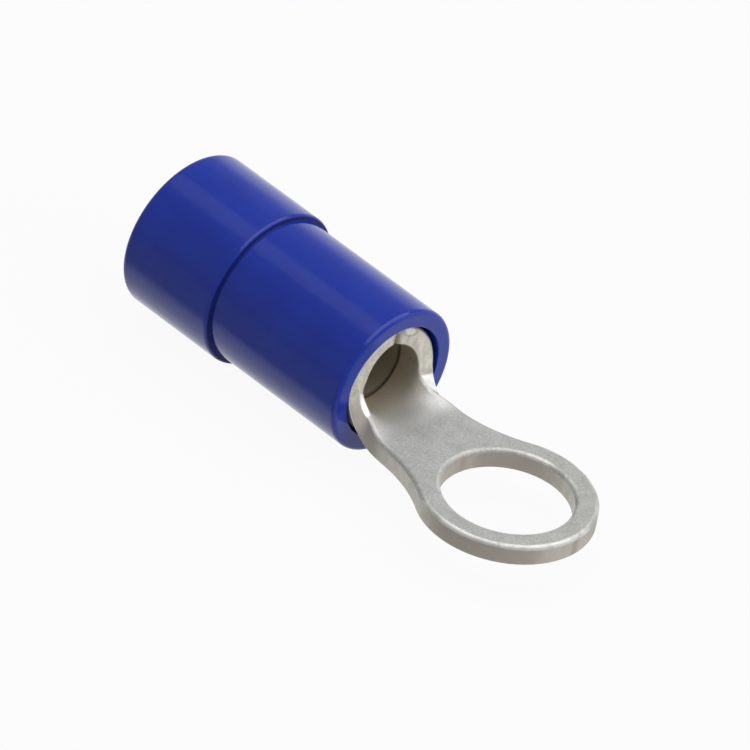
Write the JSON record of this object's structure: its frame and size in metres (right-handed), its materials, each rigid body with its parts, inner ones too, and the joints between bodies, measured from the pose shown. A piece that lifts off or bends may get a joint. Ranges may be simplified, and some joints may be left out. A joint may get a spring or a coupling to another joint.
{
  "type": "ring terminal",
  "caption": "Insulated ring terminal: a plated ring tongue rolled into a wire barrel inside a moulded sleeve, for crimping a wire end to a stud or screw.",
  "frame": {"origin": "centre of the stud hole on the ring's underside", "axes": "+X along the barrel towards the ring, so the wire leaves along -X; +Z square to the ring, on the side of the barrel's seam; +Y completes the frame"},
  "size_m": [0.021, 0.0068, 0.0065],
  "materials": {
    "tinned_copper": "matt tin plating over copper sheet",
    "blue_sleeve": "satin-gloss moulded vinyl"
  },
  "bodies": {
    "root": {"terminal": "tinned_copper", "insulating_sleeve": "blue_sleeve"}
  },
  "joints": []
}
